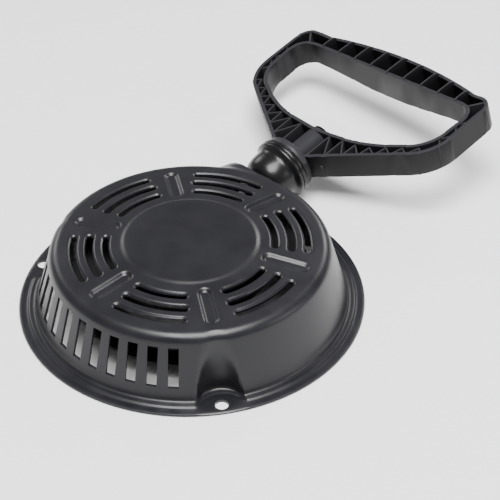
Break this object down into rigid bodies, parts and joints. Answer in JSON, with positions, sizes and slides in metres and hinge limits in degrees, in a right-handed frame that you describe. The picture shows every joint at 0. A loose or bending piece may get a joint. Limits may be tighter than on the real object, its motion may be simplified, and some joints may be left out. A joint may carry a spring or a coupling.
{
  "type": "recoil starter",
  "caption": "Round pressed-steel pull starter with a sprung rope reel, swinging pawls, a domed rope outlet and a large D-shaped pull handle.",
  "frame": {"origin": "centre of the reel axis in the plane of the case's flange, on the flat end of the centre screw", "axes": "+Z along the reel axis out through the top of the case, +Y the plan direction in which the rope is pulled, +X completes the right-handed frame"},
  "size_m": [0.2171, 0.3242, 0.0607],
  "materials": {
    "case_paint": "satin black paint on pressed steel",
    "outlet_plastic": "gloss black moulding",
    "handle_plastic": "fine-grained black moulding",
    "reel_nylon": "glass-filled nylon",
    "bumper_rubber": "matt",
    "steel": "hardened, oiled",
    "zinc": "zinc plated",
    "spring_steel": "blued",
    "bronze": "sintered, oil-soaked",
    "rope": "braided nylon"
  },
  "bodies": {
    "root": {"case": "case_paint", "outlet_dome": "outlet_plastic", "outlet_lock_ring": "zinc", "rope_eyelet": "zinc", "bumper_ring": "bumper_rubber", "centre_post": "steel", "thrust_washer": "zinc", "centre_screw": "zinc", "rewind_spring": "spring_steel", "rope_lead": "rope"},
    "reel": {"rope_reel": "reel_nylon", "reel_bush": "bronze", "spring_cover": "spring_steel", "rope_wound": "rope", "reel_knot": "rope", "pawl_pin_a": "steel", "pawl_pin_b": "steel", "pawl_spring_a": "spring_steel", "pawl_spring_b": "spring_steel"},
    "pawl_a": {"pawl_a": "steel"},
    "pawl_b": {"pawl_b": "steel"},
    "guide": {"pawl_guide": "zinc", "friction_spring": "spring_steel"},
    "pull_rope": {"rope_run": "rope", "handle_knot": "rope"},
    "handle": {"handle_body": "handle_plastic", "handle_plug": "handle_plastic", "knot_washer": "zinc"}
  },
  "joints": [
    {"name": "handle_pull", "type": "slide", "parent": "root", "child": "pull_rope", "axis": [0, 0.9781, 0.2079], "range_m": [0, 0.95], "stiffness_N_per_m": 18, "springref_m": -0.45},
    {"name": "handle_turn", "type": "hinge", "parent": "pull_rope", "child": "handle", "pos_m": [-0.0344, 0.1078, 0.0215], "axis": [0, 0.9781, 0.2079], "range_deg": [-180, 180]},
    {"name": "reel_spin", "type": "hinge", "parent": "root", "child": "reel", "pos_m": [0, 0, 0], "axis": [0, 0, 1], "range_deg": [-925, 0], "deforming": ["rewind_spring"]},
    {"name": "guide_lag", "type": "hinge", "parent": "reel", "child": "guide", "pos_m": [0, 0, 0], "axis": [0, 0, 1], "range_deg": [0, 35], "stiffness_Nm_per_rad": 0.02, "springref_deg": -17.19},
    {"name": "pawl_a_swing", "type": "hinge", "parent": "reel", "child": "pawl_a", "pos_m": [0.027, 0, 0], "axis": [0, 0, 1], "range_deg": [0, 30], "deforming": ["pawl_spring_a"]},
    {"name": "pawl_b_swing", "type": "hinge", "parent": "reel", "child": "pawl_b", "pos_m": [-0.027, 0, 0], "axis": [0, 0, 1], "range_deg": [0, 30], "deforming": ["pawl_spring_b"]}
  ],
  "couplings": [
    {"joint": "reel_spin", "follows": "handle_pull", "rad_per_m": -16.95},
    {"joint": "pawl_a_swing", "follows": "guide_lag", "ratio": 0.857},
    {"joint": "pawl_b_swing", "follows": "guide_lag", "ratio": 0.857}
  ]
}
